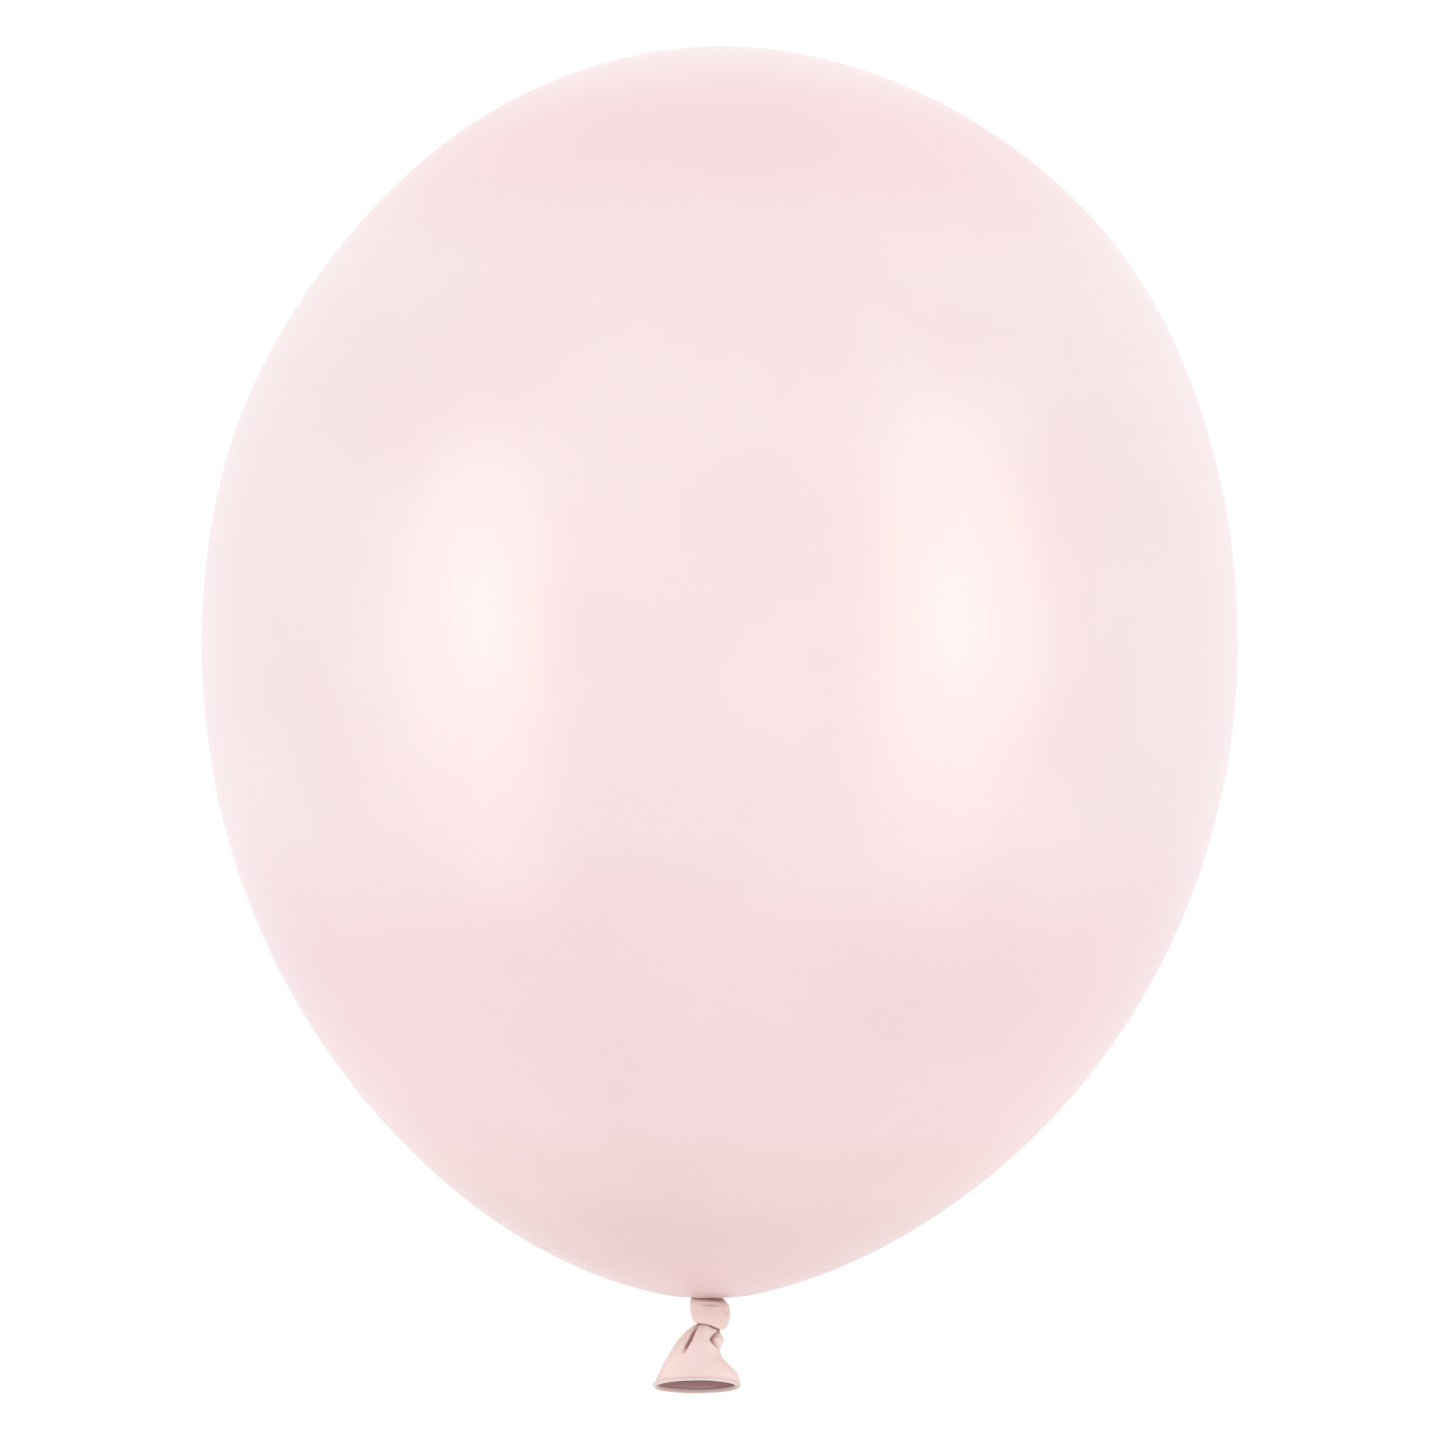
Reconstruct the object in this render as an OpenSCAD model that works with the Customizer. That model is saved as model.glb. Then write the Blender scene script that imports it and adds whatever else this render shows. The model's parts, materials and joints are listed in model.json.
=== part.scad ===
// Latex party balloon: blown up, tied off in an overhand knot, with its tail hanging below.
// Millimetres, +Z up. The origin is the tie, where the film is drawn together under the body.
// One dip-moulded film makes the whole object, so each node is a stretch of that film with a
// form of its own: the blown body, the gathers in its neck, the knot, and the slack tail.

/* [Body] */
// Width across the widest ring
body_w = 300; // [200:1:400]
// Height of the crown above the widest ring
crown_h = 173.4; // [110:0.1:240]
// Height of the widest ring above the tie
taper_h = 190.3; // [120:0.1:260]
// Roundness of the crown across: 2 is an ellipse, less is leaner
crown_round_r = 1.91; // [1.7:0.01:2.3]
// Roundness of the crown upwards: 2 is an ellipse, more is flatter on top
crown_round_z = 2.1; // [1.8:0.01:2.5]
// Roundness of the lower half across: 2 is an ellipse, less tapers to the tie
taper_round_r = 1.65; // [1.4:0.01:2.2]
// Roundness of the lower half downwards
taper_round_z = 2.02; // [1.8:0.01:2.5]
// Thickness of the body's film, thicker than real so that it is a sound solid
film_t = 0.4; // [0.3:0.05:1]
// Lean of the body over the tie, towards +X
body_lean = 0.9; // [0:0.1:3]

/* [Neck] */
// Width of the dimple that the knot draws into the body
dimple_w = 24; // [18:0.5:34]
// Height of the dimple at the neck
dimple_h = 3; // [2:0.1:5]
// Width of the gathered film that passes through the neck
throat_w = 6.4; // [5:0.1:8]
// Length of the gathered film inside the body, above the neck's rim
throat_in = 2.6; // [1.5:0.1:5]
// Number of gathers round the film, in the neck and in the knot
gathers = 9; // [6:1:14]
// Depth of each gather, as a share of the radius
gather_share = 0.1; // [0.04:0.01:0.16]

/* [Knot] */
// Width of the loop of the knot
loop_w = 12.2; // [10:0.1:15]
// Height of the loop above its widest level
loop_up = 3; // [2:0.1:4]
// Height of the loop below its widest level
loop_down = 4.6; // [3:0.1:6]
// Depth of the loop's top below the neck's rim
loop_drop = 2.6; // [2:0.1:4]
// Width of the strand that passes through the loop
strand_w = 5.3; // [4.4:0.1:6.4]
// Length of strand that stands out of the top of the loop
strand_out = 0.3; // [0.1:0.1:0.6]

/* [Tail neck] */
// Depth inside the loop's lower end at which the tail's neck bends
bend_in = 1.1; // [0.6:0.1:1.6]
// Length of the tail's neck, between the centres of its two rounded ends
neck_l = 4.5; // [3.6:0.1:7]
// Width of the tail's neck between its ends
neck_w = 3.4; // [2:0.1:3.6]

/* [Tail] */
// Length of the tail, from the end of its neck to the middle of the lip
tail_l = 13.8; // [10:0.1:24]
// Sideways run of the tail, towards -X
tail_run = 3.4; // [0:0.1:6]
// Width of the lip over its bead
lip_w = 25.4; // [20:0.1:34]
// Depth of the lip over its bead, less than its width because the mouth lies slack
lip_d = 12; // [10.5:0.1:20]
// Diameter of the rolled bead
bead_w = 2; // [1.4:0.1:2.6]
// Turn of the mouth towards -Y
mouth_turn = 18; // [0:1:24]
// Thickness of the tail's slack film
tail_t = 0.45; // [0.3:0.05:0.7]
// Number of folds round the tail
folds = 5; // [4:1:8]
// Depth of a fold, as a share of the tail's radius
fold_share = 0.12; // [0:0.01:0.18]

/* [Clearances] */
// Gap between pieces that move on each other
joint_gap = 0.3; // [0.2:0.05:0.5]
// Gap between pieces that are seated in each other
seat_gap = 0.05; // [0.02:0.01:0.1]

/* [Hidden] */

crown_steps = 28;  // points of the outline from the crown to the widest ring
taper_steps = 30;  // points from the widest ring to the dimple
dimple_steps = 8;  // points from the dimple's edge to the neck's rim
gather_points = 8; // points round each gather
round_points = 64; // points round the tail and round the lip
tail_rings = 12;   // rings down the tail
bead_points = 10;  // points round the bead
flare = 0.62;      // how soon the tail opens below its neck: less is sooner
$fn = 96;

neck_r = throat_w / 2 + joint_gap;  // radius of the neck's rim in the body
dimple_r = dimple_w / 2;
rim_z = dimple_rise(neck_r) + taper_z(neck_r, 0);
loop_top = rim_z - loop_drop;
loop_z = loop_top - loop_up;        // widest level of the loop, and the centre it turns on
loop_end = loop_z - loop_down;
bore_r = strand_w / 2 + seat_gap;
ball_r = bore_r - joint_gap;        // rounded ends of the tail's neck
bend_z = loop_end + bend_in;        // centre on which the tail's neck turns in the loop
ball_z = bend_z - neck_l;           // centre on which the tail turns on its neck
core_end = bend_z + ball_r + joint_gap;
knot_reach = max(norm([throat_w / 2, loop_up]), norm([strand_w / 2, loop_up + strand_out]));
throat_end = loop_z + knot_reach + joint_gap; // clear of the knot's top edges as it tilts
socket_r = ball_r + joint_gap + tail_t; // outer radius of the tail where it takes its neck
bead_r = bead_w / 2;
lip_rx = lip_w / 2 - bead_r;
lip_ry = lip_d / 2 - bead_r;

// Radius and height of a rounded quarter, in the first quadrant, at angle a.
function rounded(a, w, h, round_r, round_z) =
    [w * pow(cos(a), 2 / round_r), h * pow(sin(a), 2 / round_z)];

// Height of the lower half at radius r, before the dimple, with the wall inset by t.
function taper_z(r, t) = taper_h - (taper_h - t)
    * pow(1 - pow(r / (body_w / 2 - t), taper_round_r), 1 / taper_round_z);

function dimple_rise(r) = dimple_h * pow(1 - pow(r / dimple_r, 2), 2);

// The body's outline from the crown down to the neck's rim, with the wall inset by t.
function outline(t) =
    let (
        w = body_w / 2 - t,
        edge = acos(pow(dimple_r / w, taper_round_r / 2))
    )
    concat(
        [for (i = [crown_steps:-1:1])
            [0, taper_h]
                + rounded(90 * i / crown_steps, w, crown_h - t, crown_round_r, crown_round_z)],
        [for (i = [0:taper_steps - 1])
            let (p = rounded(edge * i / taper_steps, w, taper_h - t, taper_round_r, taper_round_z))
                [p[0], taper_h - p[1]]],
        [for (i = [0:dimple_steps])
            let (r = dimple_r + (neck_r - dimple_r) * i / dimple_steps)
                [r, taper_z(r, t) + dimple_rise(r)]]
    );

function reversed(list) = [for (i = [len(list) - 1:-1:0]) list[i]];

// Outline of a bundle of gathered film whose ridges reach radius r.
function gathered(r) =
    let (n = gathers * gather_points)
        [for (i = [0:n - 1])
            let (a = 360 * i / n)
                r * (1 - gather_share * (1 - cos(gathers * a)) / 2) * [cos(a), sin(a)]];

// A point at angle a round the tail, a share s of the way from its neck to the lip, on a
// wall that is inset by t and raised by up along the tail.
function tail_point(a, s, t, up = 0) =
    let (
        open = pow(s, flare),
        fold = 1 - fold_share * 4 * open * (1 - open) * (1 + cos(folds * a)) / 2,
        rx = socket_r + (lip_rx + tail_t / 2 - socket_r) * open - t,
        ry = socket_r + (lip_ry + tail_t / 2 - socket_r) * open - t,
        turn = mouth_turn * s,
        y = ry * fold * sin(a)
    )
    [
        rx * fold * cos(a) - tail_run * open,
        y * cos(turn) + up * sin(turn),
        ball_z - tail_l * s - y * sin(turn) + up * cos(turn)
    ];

// A point of the bead, at angle a round the lip and angle b round the bead.
function bead_point(a, b) =
    let (
        y = lip_ry * sin(a) + bead_r * cos(b) * sin(a),
        up = bead_r * sin(b)
    )
    [
        (lip_rx + bead_r * cos(b)) * cos(a) - tail_run,
        y * cos(mouth_turn) + up * sin(mouth_turn),
        ball_z - tail_l - y * sin(mouth_turn) + up * cos(mouth_turn)
    ];

// Faces that join ring i to ring i + 1 of a closed grid, with n points in each ring.
function band(i, j, n) =
    [for (k = [0:n - 1])
        let (l = (k + 1) % n)
            each [[i * n + k, i * n + l, j * n + l], [i * n + k, j * n + l, j * n + k]]];

module balloon_skin() {
    color([0.97, 0.88, 0.89])
        rotate([0, body_lean, 0])
            rotate_extrude()
                polygon(concat(outline(0), reversed(outline(film_t))));
}

module strand(r, low, high) {
    translate([0, 0, low])
        linear_extrude(high - low)
            polygon(gathered(r));
}

module neck_throat() {
    color([0.93, 0.80, 0.79])
        strand(throat_w / 2, throat_end, rim_z + throat_in);
}

module knot_loop() {
    side = [
        for (a = [90:-7.5:-90])
            [
                bore_r + (loop_w / 2 - bore_r) * pow(cos(a), 0.75),
                (a > 0 ? loop_up : loop_down) * sin(a)
            ]
    ];
    color([0.94, 0.81, 0.79])
        translate([0, 0, loop_z])
            rotate_extrude()
                polygon(side);
}

module knot_core() {
    color([0.92, 0.77, 0.76])
        strand(strand_w / 2, core_end, loop_top + strand_out);
}

module tail_neck() {
    color([0.90, 0.75, 0.73])
        translate([0, 0, ball_z]) {
            sphere(ball_r);
            cylinder(h = neck_l, d = neck_w);
            translate([0, 0, neck_l])
                sphere(ball_r);
        }
}

module tail_skirt() {
    n = round_points;
    stop = bead_r + seat_gap;
    outside = [for (i = [0:tail_rings], k = [0:n - 1])
        tail_point(360 * k / n, i / tail_rings, 0, stop * i / tail_rings)];
    inside = [for (i = [tail_rings:-1:0], k = [0:n - 1])
        tail_point(360 * k / n, i / tail_rings, tail_t, stop * i / tail_rings)];
    rings = 2 * (tail_rings + 1);
    color([0.96, 0.85, 0.83])
        polyhedron(
            concat(outside, inside),
            [for (i = [0:rings - 1]) each band(i, (i + 1) % rings, n)]
        );
}

module rolled_lip() {
    n = round_points;
    color([0.88, 0.79, 0.77])
        polyhedron(
            [for (j = [0:bead_points - 1], k = [0:n - 1])
                bead_point(360 * k / n, 360 * j / bead_points)],
            [for (j = [0:bead_points - 1]) each band(j, (j + 1) % bead_points, n)]
        );
}

balloon_skin();
neck_throat();
knot_loop();
knot_core();
tail_neck();
tail_skirt();
rolled_lip();
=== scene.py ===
import json
import math

import bmesh
import bpy
import numpy as np
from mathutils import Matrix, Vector


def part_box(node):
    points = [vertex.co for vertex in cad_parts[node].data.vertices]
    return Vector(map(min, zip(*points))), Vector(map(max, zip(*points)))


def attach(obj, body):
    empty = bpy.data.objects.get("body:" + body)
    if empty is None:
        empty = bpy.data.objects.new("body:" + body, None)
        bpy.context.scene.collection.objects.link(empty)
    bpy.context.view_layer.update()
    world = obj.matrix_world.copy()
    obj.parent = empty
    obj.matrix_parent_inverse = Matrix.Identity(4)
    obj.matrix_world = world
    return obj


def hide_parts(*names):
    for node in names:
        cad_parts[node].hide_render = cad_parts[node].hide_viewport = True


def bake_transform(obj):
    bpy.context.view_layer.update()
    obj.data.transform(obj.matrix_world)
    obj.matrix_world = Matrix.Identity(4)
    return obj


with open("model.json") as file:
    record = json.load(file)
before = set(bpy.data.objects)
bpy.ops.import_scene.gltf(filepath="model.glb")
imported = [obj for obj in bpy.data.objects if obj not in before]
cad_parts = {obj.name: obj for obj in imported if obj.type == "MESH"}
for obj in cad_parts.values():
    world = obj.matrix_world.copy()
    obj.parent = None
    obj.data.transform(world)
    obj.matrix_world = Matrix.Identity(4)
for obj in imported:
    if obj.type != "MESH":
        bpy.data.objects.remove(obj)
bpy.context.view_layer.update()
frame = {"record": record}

# A tied latex balloon. Sizes below are in millimetres and angles in degrees unless a name says
# otherwise; mesh code works in millimetres and make_piece() turns the result into metres.
MM = 0.001


def corners(node):
    """Lowest and highest corner of a CAD node, in millimetres."""
    return [np.array(corner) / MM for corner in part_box(node)]


def joint_z(name):
    """Height of a joint's axis, in millimetres."""
    joints = frame["record"]["behaviour"]["joints"]
    return next(j["pos_m"][2] for j in joints if j["name"] == name) / MM


skin_low, skin_high = corners("balloon_skin")
lip_low, lip_high = corners("rolled_lip")
rim_z = joint_z("neck_twist")    # rim of the body's neck
knot_z = joint_z("knot_tilt")    # widest level of the knot
bend_z = joint_z("tail_pitch")   # where the tail leaves the knot
sway_z = joint_z("tail_sway")    # where the tail opens

# Body
BODY_R = (skin_high[1] - skin_low[1]) / 2
BODY_TOP = skin_high[2] - 0.5
BODY_POINTS = 224                # points round the body
WIDEST = 0.523 * BODY_TOP        # height of the widest ring
CROWN_ROUND = (1.91, 2.10)       # superellipse powers across and upwards, above the widest ring
TAPER_ROUND = (1.69, 2.02)       # the same below it
BODY_FILM = 0.3                  # films are thicker than real, so that they are sound meshes
RIM_R = 3.5                      # radius of the neck's rim
DIMPLE_R, DIMPLE_H = 12.0, 3.0
DIMPLE_EDGE = 1.6                # finer rings start at this many dimple radii
PUCKER_DEPTH = 0.26
NECK_SHADE_R = 13.0               # radius where the film round the neck is darkest: deeper film colour and painted shade
NECK_SHADE_SPREAD = 8.5           # how far that darkening spreads up the body
NECK_SHADE_HALF = 5.4             # half width of the stronger painted shade at front and back
BOW = 3.4                        # sideways run of the body's axis by mid-height
BOW_SOON = 38.0                  # height at which half of that run is reached
CROWN_BOW = 2.4                  # further run of the axis under the crown,
CROWN_BOW_Z, CROWN_BOW_W = 308.0, 42.0    # the height where it is largest, and its reach

# Neck and knot
GATHERS = 9
GATHER_POINTS = 144              # points round gathered film
NECK_JOIN = rim_z - 0.5          # height where the neck's film hands over to the bundle
NECK_LAP = 0.25                  # how far it reaches past that height
NECK_FILM = 0.22
BUNDLE_R = 2.75                  # gathered neck where it enters the knot
KNOT_VOXEL = 0.13
COLLAR_TOP, COLLAR_LONG = 0.65, 5.2       # gathered collar between body and wrap

# Tail
TAIL_TOP = bend_z + 0.5          # top of the tail's film, inside the knot
FLARE_Z = -7.0                   # height where the film starts to open
TAIL_FILM = 0.4
TAIL_POINTS = 320                # points round the tail and round its mouth
TAIL_ROWS, TAIL_INNER_ROWS = 150, 80
STRAND_R = 2.2                   # the tail's film where it leaves the knot
BEAD_R = 0.72                    # mean radius of the rolled bead
MOUTH_TURN = 25.0                # turn of the mouth towards the front
lip_x = (lip_low[0] + lip_high[0]) / 2
lip_z = (lip_low[2] + lip_high[2]) / 2 - 0.15
lip_rx = (lip_high[0] - lip_low[0]) / 2 - BEAD_R
LIP_RY = 5.0                     # half depth of the mouth, which lies slack


# ---------------------------------------------------------------- mesh helpers

def smooth(t):
    """0 below 0, 1 above 1, and an eased step between."""
    t = np.clip(t, 0, 1)
    return t * t * (3 - 2 * t)


def bell(t):
    return np.exp(-np.square(t))


def through(x, xs, ys):
    """A smooth curve through the points (xs, ys), held at its end values outside them."""
    xs, ys = np.asarray(xs, float), np.asarray(ys, float)
    slopes = np.gradient(ys, xs)
    x = np.clip(x, xs[0], xs[-1])
    i = np.clip(np.searchsorted(xs, x, "right") - 1, 0, len(xs) - 2)
    w = xs[i + 1] - xs[i]
    t = (x - xs[i]) / w
    return (
        (2 * t**3 - 3 * t**2 + 1) * ys[i]
        + (t**3 - 2 * t**2 + t) * w * slopes[i]
        + (3 * t**2 - 2 * t**3) * ys[i + 1]
        + (t**3 - t**2) * w * slopes[i + 1]
    )


def around(n):
    """n angles round a ring, in radians."""
    return np.arange(n) * math.tau / n


def ring_faces(m, n, closed):
    """Quads of a grid of m rings of n points; closed also joins the last ring to the first."""
    i = np.arange(m if closed else m - 1)[:, None]
    j = np.arange(n)[None, :]
    k, l = (i + 1) % m, (j + 1) % n
    quads = np.stack([i * n + j, i * n + l, k * n + l, k * n + j], axis=-1)
    return quads.reshape(-1, 4).tolist()


def ring_mesh(rings, ends):
    """Vertices and faces of a tube of rings. ends is "poles", closed by a point at each end,
    or "loop", where the last ring joins the first so that the rings bound a film."""
    rings = np.asarray(rings, float)
    m, n = rings.shape[:2]
    verts = rings.reshape(-1, 3).tolist()
    faces = ring_faces(m, n, ends == "loop")
    if ends == "poles":
        for ring in (0, m - 1):
            pole = len(verts)
            verts.append(rings[ring].mean(axis=0).tolist())
            start = ring * n
            faces += [(pole, start + j, start + (j + 1) % n) for j in range(n)]
    return verts, faces


def make_piece(name, rings, ends, material):
    """A smooth-shaded object, in metres, from rings in millimetres."""
    verts, faces = ring_mesh(rings, ends)
    mesh = bpy.data.meshes.new(name)
    mesh.from_pydata((np.array(verts) * MM).tolist(), [], faces)
    return finish_piece(name, mesh, material)


def mark_painted_shade(piece, share):
    """Stores a share of painted shade for each vertex, 0 to 1, in its crease attribute for the
    material to read.
    """
    values = np.zeros(len(piece.data.vertices), np.float32)
    values[:share.size] = np.clip(share, 0, 1).ravel()
    layer = piece.data.attributes.new("crease", "FLOAT", "POINT")
    layer.data.foreach_set("value", values)


def places(piece):
    """The piece's vertices in millimetres, one array for each of x, y and z."""
    flat = np.zeros(len(piece.data.vertices) * 3, np.float32)
    piece.data.vertices.foreach_get("co", flat)
    return (flat.reshape(-1, 3) / MM).T


def finish_piece(name, mesh, material):
    """An object with outward normals, smooth shading and one material."""
    b = bmesh.new()
    b.from_mesh(mesh)
    bmesh.ops.recalc_face_normals(b, faces=b.faces)
    for face in b.faces:
        face.smooth = True
    b.to_mesh(mesh)
    b.free()
    mesh.materials.clear()
    mesh.materials.append(material)
    piece = bpy.data.objects.new(name, mesh)
    bpy.context.collection.objects.link(piece)
    return piece


def keep_largest(mesh):
    """Deletes every separate bit of a mesh but its largest."""
    b = bmesh.new()
    b.from_mesh(mesh)
    left, bits = set(b.verts), []
    while left:
        bit, edge = set(), {left.pop()}
        while edge:
            bit |= edge
            edge = {e.other_vert(v) for v in edge for e in v.link_edges} - bit
        left -= bit
        bits.append(bit)
    largest = max(bits, key=len)
    bmesh.ops.delete(b, geom=[v for v in b.verts if v not in largest], context="VERTS")
    b.to_mesh(mesh)
    b.free()


def fused(name, parts, voxel, material):
    """One closed skin over several overlapping ring tubes, as film that lies on film looks."""
    verts, faces = [], []
    for rings in parts:
        v, f = ring_mesh(rings, "poles")
        faces += [tuple(k + len(verts) for k in face) for face in f]
        verts += v
    mesh = bpy.data.meshes.new(name)
    mesh.from_pydata((np.array(verts) * MM).tolist(), [], faces)
    piece = finish_piece(name, mesh, material)
    remesh = piece.modifiers.new("fuse", "REMESH")
    remesh.mode, remesh.voxel_size = "VOXEL", voxel * MM
    relax = piece.modifiers.new("relax", "SMOOTH")
    relax.factor, relax.iterations = 0.5, 6
    graph = bpy.context.evaluated_depsgraph_get()
    made = bpy.data.meshes.new_from_object(piece.evaluated_get(graph))
    bpy.data.objects.remove(piece)
    made.name = name
    keep_largest(made)
    return finish_piece(name, made, material)


def pleats(angle, count, share, phase=0.0):
    """A factor on the radius that gathers a ring of film into uneven pleats."""
    wave = np.cos(count * angle + phase) + 0.45 * np.cos((count + 4) * angle + 2 * phase + 1)
    return 1 - share * (1 - wave / 1.45) / 2


# ---------------------------------------------------------------- body

def body_bow(z):
    """Sideways run of the body's axis at height z."""
    z = np.clip(z, 0, None)
    return BOW * z**2 / (z**2 + BOW_SOON**2) + CROWN_BOW * bell((z - CROWN_BOW_Z) / CROWN_BOW_W)


def dimple(r):
    """Rise of the film at radius r, where the neck is drawn up into the body."""
    return DIMPLE_H * np.clip(1 - (r / DIMPLE_R) ** 2, 0, 1) ** 2


def puckers(r, angle):
    """Radial folds that the tie draws into the film round the neck."""
    fold = 0.6 * np.cos(GATHERS * angle + 0.4) + 0.4 * np.cos(14 * angle + 2.1)
    return PUCKER_DEPTH * bell((r - RIM_R) / 6.5) * fold * smooth((r - RIM_R) / 2)


def body_outline(inset, upper, lower, near):
    """Radius and height of the body's rings from crown to rim; inset is the film's thickness."""
    a = np.linspace(0, 1, upper + 1)[1:] * math.pi / 2
    r = (BODY_R - inset) * np.sin(a) ** (2 / CROWN_ROUND[0])
    z = WIDEST + (BODY_TOP - WIDEST - inset) * np.abs(np.cos(a)) ** (2 / CROWN_ROUND[1])
    edge = math.acos((DIMPLE_R * DIMPLE_EDGE / BODY_R) ** (TAPER_ROUND[0] / 2))
    a = np.linspace(0, edge, lower + 1)[1:]
    r = np.append(r, (BODY_R - inset) * np.cos(a) ** (2 / TAPER_ROUND[0]))
    z = np.append(z, WIDEST - (WIDEST - inset) * np.sin(a) ** (2 / TAPER_ROUND[1]))
    last = np.linspace(r[-1], RIM_R, near + 1)[1:]
    share = np.clip(last / (BODY_R - inset), 0, 1) ** TAPER_ROUND[0]
    r = np.append(r, last)
    z = np.append(z, WIDEST - (WIDEST - inset) * (1 - share) ** (1 / TAPER_ROUND[1]))
    return r, z + np.where(z < WIDEST, dimple(r), 0)


def body_rings(inset, upper, lower, near):
    """Rings of the body's film; the counts are of rings over and under the widest one and near
    the neck."""
    r, z = body_outline(inset, upper, lower, near)
    a = around(BODY_POINTS)[None, :]
    r, z = r[:, None], z[:, None]
    x = r * np.cos(a) + body_bow(z)
    y = r * np.sin(a)
    fold = np.where(z < WIDEST, puckers(r, a), 0)
    return np.stack([x, y, z + fold], axis=-1)


def make_body(material):
    outer = body_rings(0, 60, 70, 46)
    inner = body_rings(BODY_FILM, 30, 40, 30)[::-1]
    piece = make_piece("balloon_film", np.concatenate([outer, inner]), "poles", material)
    x, y, z = places(piece)
    r, a = np.hypot(x, y), np.arctan2(y, x)
    # painted shade round the neck, darker in the valleys of the puckers
    pucker_shade = bell((r - 4) / 8) * (0.42 - 0.5 * puckers(r, a) / PUCKER_DEPTH)
    # a darker ring round the neck, partly the deeper colour of thicker film and partly painted
    # shade, with more painted shade at front and back
    deeper = bell((r - NECK_SHADE_R) / NECK_SHADE_SPREAD)
    deeper = deeper * (0.2 + 0.55 * bell(x / NECK_SHADE_HALF))
    mark_painted_shade(piece, np.where(z < WIDEST, np.maximum(pucker_shade, deeper), 0))
    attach(piece, "balloon")
    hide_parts("balloon_skin")


# ---------------------------------------------------------------- neck

def neck_rings(inset):
    """The film of the neck, from the body's rim down to the bundle."""
    t = np.linspace(0, 1, 16)[:, None]
    a = around(GATHER_POINTS)[None, :]
    z = rim_z + 0.5 - (rim_z + 0.5 - NECK_JOIN + NECK_LAP) * t
    r = RIM_R - 0.08 - (RIM_R - 0.08 - BUNDLE_R - 0.12 - NECK_FILM) * smooth(t * 1.2) - inset
    r = r * pleats(a, GATHERS, 0.10 * smooth(t * 2))
    return np.stack([r * np.cos(a), r * np.sin(a), z + 0 * a], axis=-1)


def make_neck_film(material):
    rings = np.concatenate([neck_rings(0), neck_rings(NECK_FILM)[::-1]])
    piece = make_piece("neck_film", rings, "loop", material)
    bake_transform(piece)
    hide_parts("neck_throat")


def bundle_rings(r, top, low, steps, share, phase=0.0, twist=0.0):
    """A strand of gathered film with rounded ends."""
    t = np.linspace(0, 1, steps)[:, None]
    a = around(GATHER_POINTS)[None, :]
    z = top + (low - top) * t
    ends = np.sqrt(np.clip(1 - np.abs(2 * t - 1) ** 8, 0.02, 1))
    radius = r * ends * pleats(a + twist * t, GATHERS, share, phase)
    return np.stack([radius * np.cos(a), radius * np.sin(a), z + 0 * a], axis=-1)


def make_neck_bundle(material):
    rings = bundle_rings(BUNDLE_R, NECK_JOIN + 0.7, knot_z + 1.6, 24, 0.10)
    piece = make_piece("neck_bundle", rings, "poles", material)
    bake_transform(piece)


# ---------------------------------------------------------------- knot

# The wrap of the knot, by the angle round the axis: it starts at the back left under the body,
# passes the left, the front (270) and the right (360), and tucks in under itself at the left.
WRAP_ANGLE = (120, 180, 225, 270, 315, 360, 405, 450, 495, 540, 600)
WRAP_R = (3.0, 3.9, 4.0, 4.0, 4.2, 4.5, 4.3, 4.0, 3.8, 3.4, 2.8)
WRAP_Z = (1.1, -0.25, -0.3, -0.4, -1.35, -1.95, -1.9, -1.6, -1.9, -2.4, -2.0)  # from knot_z
WRAP_TALL = (1.2, 3.7, 3.65, 3.8, 4.1, 4.25, 3.7, 3.2, 2.3, 1.6, 1.0)        # half height
WRAP_THICK = (0.8, 1.3, 1.35, 1.4, 1.55, 1.8, 1.6, 1.4, 1.1, 0.9, 0.7)       # half thickness
WRAP_LEAN = (0.0, 0.45, 0.35, 0.2, 0.2, 0.3, 0.2, 0.1, 0.0, 0.0, 0.0)        # top outwards
WRAP_SQUARE = (1.0, 0.7, 0.8, 0.9, 1.0, 1.1, 1.0, 0.95, 1.0, 1.0, 1.0)       # 1 is an ellipse
PIT_AT = (5.1, -2.6, -3.8)       # the small pit in the wrap's right side
PIT_R, PIT_DEPTH = 0.55, 0.4
# The collar's radius, by the share of the way down it.
COLLAR_AT = (0, 0.05, 0.12, 0.26, 0.5, 0.75, 0.95, 1.0)
COLLAR_R = (2.5, 3.7, 4.6, 4.9, 4.3, 3.4, 2.8, 2.0)


def wrap_rings():
    """Sections of the folded band that is wound round the collar."""
    angle = np.linspace(WRAP_ANGLE[0], WRAP_ANGLE[-1], 240)
    centre, height, tall, thick, lean, square = (
        through(angle, WRAP_ANGLE, v)[:, None]
        for v in (WRAP_R, WRAP_Z, WRAP_TALL, WRAP_THICK, WRAP_LEAN, WRAP_SQUARE)
    )
    a = around(96)[None, :]
    turn = np.radians(angle)[:, None]
    out = np.sign(np.cos(a)) * np.abs(np.cos(a)) ** square
    up = np.sign(np.sin(a)) * np.abs(np.sin(a)) ** square
    right = smooth((np.cos(turn) + 0.7) / 1.2)
    folds = (0.03 * np.cos(9 * a + 1.5 * np.sin(turn)) + 0.025 * np.cos(5 * a - turn)) * right
    hollow = 1 - 0.8 * smooth(-1.6 * up) * (out < 0)    # room for the tail to swing
    r = centre + thick * out * hollow * (1 + folds) + lean * up
    z = knot_z + height + tall * up
    return np.stack([r * np.cos(turn), r * np.sin(turn), z], axis=-1)


def wrap_low(turn):
    """Height of the wrap's lower edge at an angle round the axis, in radians."""
    angle = (np.degrees(turn) - 180) % 360 + 180
    return knot_z + through(angle, WRAP_ANGLE, WRAP_Z) - through(angle, WRAP_ANGLE, WRAP_TALL)


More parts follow.
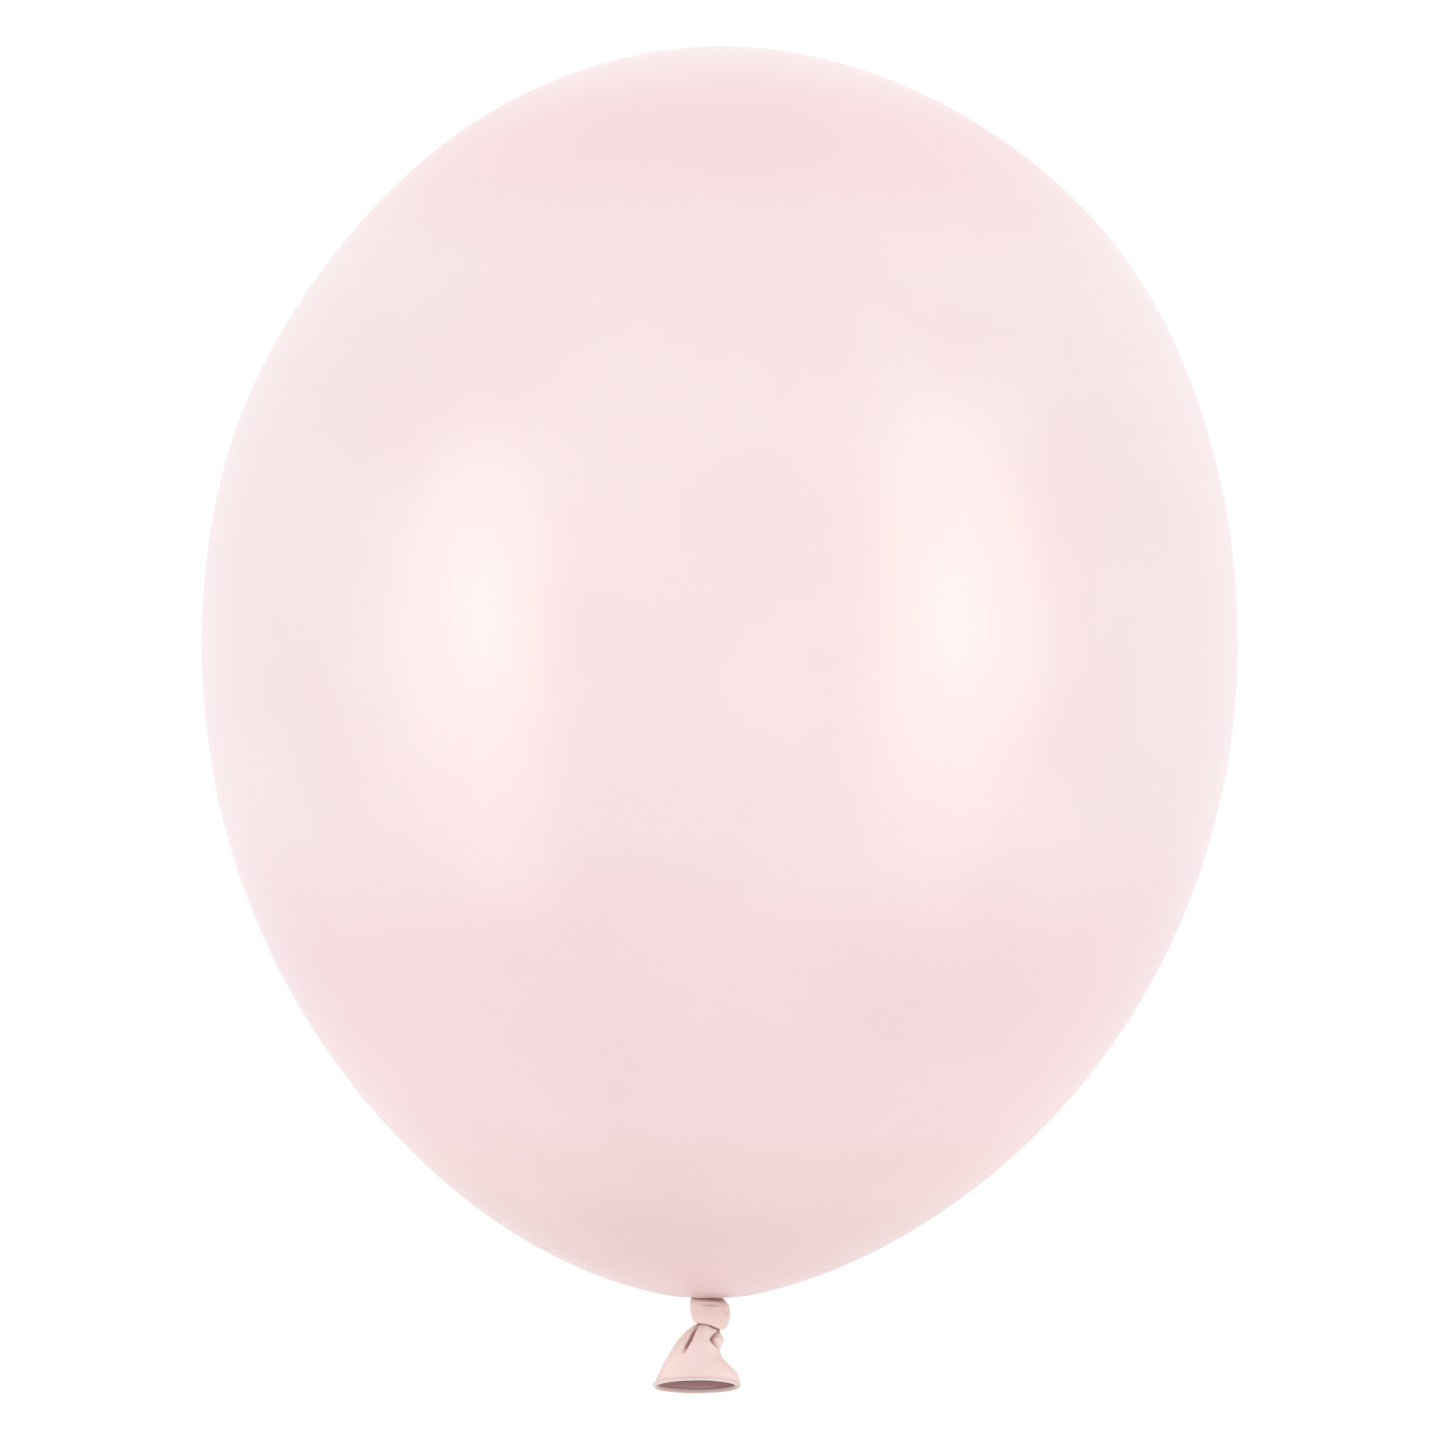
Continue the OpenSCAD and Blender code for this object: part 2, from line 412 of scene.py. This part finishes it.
def collar_rings():
    """The gathered film between the body and the wrap, and the strand it goes on into."""
    t = np.linspace(0, 1, 60)[:, None]
    a = around(GATHER_POINTS)[None, :]
    z = COLLAR_TOP - COLLAR_LONG * t
    r = through(t, COLLAR_AT, COLLAR_R)
    r = r * pleats(a, GATHERS, 0.09 * (1 - t))
    return np.stack([r * np.cos(a) - 0.1, r * np.sin(a), z + 0 * a], axis=-1)


def press_pit(piece):
    """Presses the pit into the finished knot."""
    at = Vector(PIT_AT) * MM
    inwards = Vector((-at.x, -at.y, 0)).normalized()
    for v in piece.data.vertices:
        v.co += inwards * float(PIT_DEPTH * MM * bell((v.co - at).length / (PIT_R * MM)))


def make_knot(material):
    piece = fused("knot_wrap", [wrap_rings(), collar_rings()], KNOT_VOXEL, material)
    press_pit(piece)
    x, y, z = places(piece)
    # painted shade under the body, in the crease across the front, and inside the tail's way out
    tie = 0.62 * smooth((z + 0.6 + 0.08 * x) / 0.8) * smooth((5.4 - x) / 1.8)
    tuck = 0.45 * bell((z + 1.45 + 0.06 * x) / 0.28) * bell((np.arctan2(y, x) + 1.35) / 0.55)
    inside = smooth((3.1 - np.hypot(x, y)) / 0.6) * (z < knot_z)
    mark_painted_shade(piece, np.maximum(np.maximum(tie, tuck), inside))
    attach(piece, "knot")
    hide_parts("knot_loop", "knot_core")


# ---------------------------------------------------------------- tail

def left_edge(s):
    """Reach of the tail's film to the left, a share s of the way from the knot to the mouth."""
    return STRAND_R + 0.1 + 13.6 * s**0.56 - 0.5 * smooth((s - 0.92) / 0.08)


def right_edge(s, z):
    """Its reach to the right, with the bulge and the hollow below the knot."""
    edge = STRAND_R + 0.1 + 1.35 * (1 - np.exp(-s / 0.1)) + 5.4 * smooth((s - 0.48) / 0.44)
    return edge + 0.95 * bell((z + 12.0) / 1.7) - 0.35 * bell((z + 14.8) / 1.2)


def crease(x, z, line_z, line_x, depth, side, sharp, soft):
    """Inward press of a fold: a line down the film, steep on one side and soft on the other.
    side is +1 where the soft side lies towards +X."""
    away = (x - through(-z, line_z, line_x)) * side
    deep = through(-z, line_z, depth)
    return deep * smooth(away / sharp + 0.5) * bell(np.clip(away, 0, None) / soft)


# Folds of the tail: depth below the tie, place across and depth of press along each line.
FOLDS_FRONT = (
    # the long groove at the left
    dict(line_z=(6.4, 7.4, 9.5, 12.0, 14.0, 15.1, 16.5),
         line_x=(-1.9, -2.5, -3.7, -4.8, -5.8, -6.3, -7.0),
         depth=(0.3, 0.95, 2.0, 2.3, 2.0, 1.2, 0.0), side=-1, sharp=0.35, soft=1.05),
    # the pocket at the right, and the crease that runs on from it
    dict(line_z=(7.6, 8.9, 10.4, 11.6, 12.7, 13.8, 17.2, 18.8),
         line_x=(2.6, 2.5, 1.2, 0.4, 0.8, 1.7, 4.2, 5.2),
         depth=(0.2, 0.8, 1.7, 2.1, 1.5, 0.9, 0.4, 0.0), side=1, sharp=0.35, soft=1.1),
)
FOLDS_BACK = (
    dict(line_z=(6.4, 8.0, 11.0, 14.0, 16.5), line_x=(0.6, 1.0, 1.6, 2.0, 2.2),
         depth=(0.4, 1.0, 1.6, 1.1, 0.0), side=1, sharp=0.35, soft=1.0),
    dict(line_z=(6.8, 8.5, 11.0, 13.5, 15.0), line_x=(-2.2, -3.6, -5.6, -7.2, -7.9),
         depth=(0.3, 1.0, 1.4, 0.9, 0.0), side=-1, sharp=0.35, soft=1.0),
)


def tail_rings(inset, rows):
    """The tail's film from inside the knot to the bead, and its share of painted shade in the fold
    grooves and under the wrap's lower edge.
    """
    top, low = -TAIL_TOP, -lip_z - 0.35
    depth = np.linspace(top, low, rows)[:, None]
    a = around(TAIL_POINTS)[None, :]
    s = np.clip((depth + FLARE_Z) / (-lip_z + FLARE_Z), 0, 1)
    z = -depth
    left, right = left_edge(s), right_edge(s, z)
    half = (left + right) / 2 - inset
    deep = STRAND_R + (LIP_RY - STRAND_R) * s**0.7 - inset
    gather = pleats(a, GATHERS, 0.12 * (1 - smooth(s / 0.3)))
    wave = 1 + 0.03 * np.sin(3 * a + 5 * s) * smooth(s * 5) * (1 - smooth((s - 0.6) / 0.35))
    # at the top left the film keeps clear of the wrap's lower edge
    slim = 1 - 0.48 * smooth(-np.cos(a)) * (1 - smooth(s / 0.14))
    x = half * np.cos(a) * gather + (right - left) / 2
    y = deep * np.sin(a) * gather * wave * slim
    front = smooth(0.5 - y / 1.6)
    ahead = sum(crease(x, z, **f) for f in FOLDS_FRONT) * front
    behind = sum(crease(x, z, **f) for f in FOLDS_BACK) * (1 - front)
    room = 1.4 * np.abs(y) + 0.1
    y = y + np.minimum(ahead, room) - np.minimum(behind, room)
    turn = math.radians(MOUTH_TURN) * smooth(s * 1.1)
    rings = np.stack([x, y * np.cos(turn), z - y * np.sin(turn)], axis=-1)
    # painted shade along the wrap's lower edge
    shade_under_wrap = smooth((z - wrap_low(a) + 0.55) / 0.5)
    # the second value is painted shade, deepest in the fold grooves
    return rings, np.maximum((ahead + behind) / 2.4, shade_under_wrap)


def make_tail_film(material, inside):
    outer, outer_shade = tail_rings(0, TAIL_ROWS)
    inner, inner_shade = tail_rings(TAIL_FILM, TAIL_INNER_ROWS)
    piece = make_piece("tail_film", np.concatenate([outer, inner[::-1]]), "loop", material)
    mark_painted_shade(piece, np.concatenate([outer_shade, inner_shade[::-1]]))
    piece.data.materials.append(inside)
    for face in list(piece.data.polygons)[TAIL_ROWS * TAIL_POINTS:]:
        face.material_index = 1
    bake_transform(piece)
    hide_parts("tail_skirt")


def make_tail_bundle(material):
    """The gathered strand inside the top of the tail's film."""
    rings = bundle_rings(STRAND_R - TAIL_FILM - 0.12, TAIL_TOP + 0.35, sway_z + 2.4, 30, 0.12, 0.8)
    piece = make_piece("tail_bundle", rings, "poles", material)
    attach(piece, "tail_root")
    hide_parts("tail_neck")


def lip_rings():
    """The rolled bead: a ring of sections with the step where the roll's film ends."""
    a = around(TAIL_POINTS)[:, None]
    b = around(36)[None, :]
    thick = BEAD_R * (
        1 + 0.10 * np.cos(2 * a) + 0.28 * np.sin(a)    # thickest at the back
        + 0.04 * np.sin(3 * a + 0.6) + 0.03 * np.sin(7 * a + 2)
    )
    roll = 1 - 0.10 * bell((np.mod(b - 1.9 + 0.15 * np.sin(4 * a), math.tau) - 0.6) / 0.35)
    out, up = thick * roll * np.cos(b), thick * roll * np.sin(b)
    x = (lip_rx + out) * np.cos(a) + lip_x
    y = (LIP_RY + out) * np.sin(a)
    turn = math.radians(MOUTH_TURN)
    return np.stack([
        x,
        y * math.cos(turn) + up * math.sin(turn),
        lip_z - y * math.sin(turn) + up * math.cos(turn),
    ], axis=-1)


def make_lip(material):
    piece = make_piece("mouth_bead", lip_rings(), "loop", material)
    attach(piece, "tail")
    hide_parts("rolled_lip")


# ---------------------------------------------------------------- materials

def srgb(r, g, b):
    """A colour given in display values, 0 to 255, as a shader colour."""
    def linear(c):
        c /= 255
        return c / 12.92 if c <= 0.04045 else ((c + 0.055) / 1.055) ** 2.4
    return (linear(r), linear(g), linear(b), 1)


class Nodes:
    """A short way to build a material's nodes."""

    def __init__(self, name):
        self.material = bpy.data.materials.new(name)
        self.material.use_nodes = True
        self.tree = self.material.node_tree
        self.shader = self.tree.nodes["Principled BSDF"]

    def add(self, kind, **settings):
        node = self.tree.nodes.new(kind)
        for key, value in settings.items():
            setattr(node, key, value)
        return node

    def link(self, out, into):
        self.tree.links.new(out, into)

    def noise(self, place, scale, detail=2.0, rough=0.5):
        node = self.add("ShaderNodeTexNoise")
        node.inputs["Scale"].default_value = scale
        node.inputs["Detail"].default_value = detail
        node.inputs["Roughness"].default_value = rough
        self.link(place, node.inputs["Vector"])
        return node.outputs["Fac"]

    def rescale(self, value, low, high, to_low, to_high):
        node = self.add("ShaderNodeMapRange")
        ends = {"From Min": low, "From Max": high, "To Min": to_low, "To Max": to_high}
        for key, v in ends.items():
            node.inputs[key].default_value = v
        self.link(value, node.inputs["Value"])
        return node.outputs["Result"]

    def ramp(self, value, stops):
        node = self.add("ShaderNodeValToRGB")
        node.color_ramp.interpolation = "EASE"
        points = node.color_ramp.elements
        while len(points) < len(stops):
            points.new(0.5)
        for point, (at, colour) in zip(points, stops):
            point.position, point.color = at, colour
        self.link(value, node.inputs["Fac"])
        return node.outputs["Color"]

    def mix(self, how, share, a, b):
        node = self.add("ShaderNodeMix", data_type="RGBA", blend_type=how)
        node.inputs["Factor"].default_value = share
        self.link(a, node.inputs[6])
        self.link(b, node.inputs[7])
        return node.outputs[2]


def latex(name, low, high, stops, crease, mottle, grain, roughness, bump, soft):
    """Latex film. stops colour it from height low to height high (mm), and crease is the colour
    of painted shade where its crease attribute marks a crease, fold or hollow; mottle and grain
    are the sizes (mm) of its cloudy colour and of its fine surface; soft is the depth of its glow
    (mm)."""
    n = Nodes(name)
    place = n.add("ShaderNodeTexCoord").outputs["Object"]
    height = n.add("ShaderNodeSeparateXYZ")
    n.link(place, height.inputs["Vector"])
    cloud = n.noise(place, 1 / (mottle * MM), 3)
    drift = n.rescale(cloud, 0.3, 0.7, -0.012, 0.012)
    along = n.rescale(height.outputs["Z"], low * MM, high * MM, 0, 1)
    moved = n.add("ShaderNodeMath", operation="ADD")
    n.link(along, moved.inputs[0])
    n.link(drift, moved.inputs[1])
    base = n.ramp(moved.outputs[0], stops)
    shade = n.ramp(cloud, [(0.3, (0.975, 0.965, 0.968, 1)), (0.7, (1, 1, 1, 1))])
    cloudy = n.mix("MULTIPLY", 1.0, base, shade)
    # painted shade where the crease attribute marks creases, folds and hollows
    shade_share = n.add("ShaderNodeAttribute", attribute_name="crease")
    deeper = n.add("ShaderNodeMix", data_type="RGBA")
    n.link(shade_share.outputs["Fac"], deeper.inputs["Factor"])
    n.link(cloudy, deeper.inputs[6])
    deeper.inputs[7].default_value = crease
    n.link(deeper.outputs[2], n.shader.inputs["Base Color"])

    dull = n.rescale(cloud, 0.3, 0.7, roughness - 0.04, roughness + 0.04)
    n.link(dull, n.shader.inputs["Roughness"])
    fine = n.noise(place, 1 / (grain * MM), 4, 0.6)
    relief = n.add("ShaderNodeBump")
    relief.inputs["Strength"].default_value = bump
    relief.inputs["Distance"].default_value = grain * MM * 0.1
    n.link(fine, relief.inputs["Height"])
    n.link(relief.outputs["Normal"], n.shader.inputs["Normal"])

    n.shader.inputs["IOR"].default_value = 1.52
    n.shader.inputs["Sheen Weight"].default_value = 0.21
    n.shader.inputs["Sheen Roughness"].default_value = 0.42
    n.shader.inputs["Subsurface Weight"].default_value = 0.25 if soft else 0.0
    n.shader.inputs["Subsurface Radius"].default_value = (1.0, 0.6, 0.5)
    n.shader.inputs["Subsurface Scale"].default_value = soft * MM
    return n.material


def body_latex():
    # Colour by height: darker towards the neck, below the widest ring and in a band under the
    # crown; partly the deeper colour of thicker film, partly painted shade.
    return latex(
        "latex_body_film", 0, BODY_TOP,
        [
            (0.000, srgb(236, 201, 199)),
            (0.032, srgb(236, 203, 202)),
            (0.063, srgb(237, 207, 207)),
            (0.111, srgb(243, 214, 213)),
            (0.159, srgb(246, 217, 221)),
            (0.260, srgb(244, 216, 221)),
            (0.400, srgb(246, 226, 228)),
            (0.800, srgb(245, 225, 227)),
            (0.930, srgb(243, 213, 216)),
            (1.000, srgb(244, 221, 222)),
        ],
        # crease: colour of the painted shade round the neck
        crease=srgb(162, 110, 102), mottle=60, grain=2.4, roughness=0.3, bump=0.02, soft=0,
    )


def small_latex(name, top, low, crease=srgb(138, 98, 93), roughness=0.42, bump=0.25):
    """The unstretched film of knot and tail: thicker, duller and deeper in colour; crease is the
    colour of its painted shade.
    """
    return latex(
        name, lip_z - 4, 3, [(0.0, low), (0.35, top), (1.0, top)],
        crease=crease, mottle=5, grain=0.45, roughness=roughness, bump=bump, soft=0.8,
    )


def lip_latex():
    """The bead is many layers of film, so it is the deepest in colour; its lower, back part is
    darker still with painted shade.
    """
    return latex(
        "latex_lip_film", lip_z - 3, lip_z + 3,
        [
            (0.0, srgb(212, 180, 173)),
            (0.3, srgb(217, 187, 180)),
            (0.6, srgb(240, 222, 217)),
            (1.0, srgb(242, 224, 219)),
        ],
        crease=srgb(150, 108, 102), mottle=5, grain=0.45, roughness=0.42, bump=0.2, soft=0.8,
    )


def inside_latex():
    """The inner side of the tail's film, darker the further in it lies: painted shade."""
    return latex(
        "latex_inner_film", lip_z - 2, lip_z + 9,
        [
            (0.00, srgb(196, 168, 162)),
            (0.15, srgb(174, 128, 130)),
            (0.40, srgb(118, 62, 72)),
            (1.00, srgb(90, 50, 56)),
        ],
        crease=srgb(90, 55, 58), mottle=5, grain=0.45, roughness=0.5, bump=0.2, soft=0,
    )


# ---------------------------------------------------------------- floor, lights and camera

FLOOR_DROP = 90                  # floor below the mouth
VIEW_AT = (4.06, 167.35)         # what the camera looks at, across and up
VIEW_WIDE = 419.5                # width of the view at the balloon
VIEW_FROM = 2000                 # distance of the camera


def make_floor():
    mesh = bpy.data.meshes.new("floor")
    b = bmesh.new()
    bmesh.ops.create_grid(b, x_segments=1, y_segments=1, size=40)
    b.to_mesh(mesh)
    b.free()
    floor = bpy.data.objects.new("floor", mesh)
    bpy.context.collection.objects.link(floor)
    floor.location.z = (lip_low[2] - FLOOR_DROP) * MM
    floor.visible_glossy = False     # the gloss of the body shows the softboxes down past it
    n = Nodes("pale_floor")
    n.shader.inputs["Base Color"].default_value = (0.98, 0.98, 0.98, 1)
    n.shader.inputs["Roughness"].default_value = 1.0
    n.shader.inputs["Specular IOR Level"].default_value = 0.0
    mesh.materials.append(n.material)


def make_world():
    """White surroundings, brighter overhead."""
    world = bpy.data.worlds.new("studio")
    bpy.context.scene.world = world
    world.use_nodes = True
    tree = world.node_tree
    back = tree.nodes["Background"]
    place = tree.nodes.new("ShaderNodeTexCoord")
    split = tree.nodes.new("ShaderNodeSeparateXYZ")
    ramp = tree.nodes.new("ShaderNodeMapRange")
    ramp.interpolation_type = "SMOOTHSTEP"
    ramp.inputs["From Min"].default_value, ramp.inputs["From Max"].default_value = 0.2, 0.9
    ramp.inputs["To Min"].default_value, ramp.inputs["To Max"].default_value = 1.0, 1.06
    tree.links.new(place.outputs["Generated"], split.inputs["Vector"])
    tree.links.new(split.outputs["Z"], ramp.inputs["Value"])
    tree.links.new(ramp.outputs["Result"], back.inputs["Strength"])
    back.inputs["Color"].default_value = (1, 1, 1, 1)


def make_softbox(name, bearing, rise, wide, tall, radiance, distance=2.0):
    """A soft light that shows only as a gloss; bearing is from the front, positive to +X."""
    light = bpy.data.lights.new(name, "AREA")
    light.shape, light.size, light.size_y = "ELLIPSE", wide, tall
    light.energy = radiance * math.pi * (math.pi / 4 * wide * tall)
    light.color = (1, 0.98, 0.72)
    lamp = bpy.data.objects.new(name, light)
    bpy.context.collection.objects.link(lamp)
    b, e = math.radians(bearing), math.radians(rise)
    aim = Vector((0, 0, WIDEST * MM))
    away = Vector((math.sin(b) * math.cos(e), -math.cos(b) * math.cos(e), math.sin(e)))
    lamp.location = aim + away * distance
    lamp.rotation_euler = away.to_track_quat("Z", "Y").to_euler()
    lamp.visible_camera = False
    lamp.visible_diffuse = False


def make_camera():
    data = bpy.data.cameras.new("camera")
    data.sensor_width = 36
    data.lens = data.sensor_width * VIEW_FROM / VIEW_WIDE
    camera = bpy.data.objects.new("camera", data)
    bpy.context.collection.objects.link(camera)
    camera.location = Vector((VIEW_AT[0], -VIEW_FROM, VIEW_AT[1])) * MM
    camera.rotation_euler = (math.pi / 2, 0, 0)
    bpy.context.scene.camera = camera


# ---------------------------------------------------------------- the scene

gathers = small_latex("latex_gathered_film", srgb(232, 196, 190), srgb(226, 188, 182))
make_body(body_latex())
make_neck_film(gathers)
make_neck_bundle(gathers)
make_knot(small_latex("latex_knot_film", srgb(245, 220, 213), srgb(246, 222, 216)))
make_tail_bundle(gathers)
# the third colour of the tail's film is its painted shade in the folds
make_tail_film(
    small_latex("latex_tail_film", srgb(254, 228, 224), srgb(251, 225, 220), srgb(190, 148, 138)),
    inside_latex(),
)
make_lip(lip_latex())

make_floor()
make_world()
make_softbox("left_softbox", -54, -5, 1.3, 2.9, 2.2)
make_softbox("left_core", -50, 1, 0.5, 0.9, 1.6)
make_softbox("right_softbox", 52.5, -1, 1.4, 3.0, 2.2)
make_softbox("right_core", 49.5, 2, 0.5, 0.9, 1.6)
make_camera()
bpy.context.scene.view_settings.view_transform = "Standard"
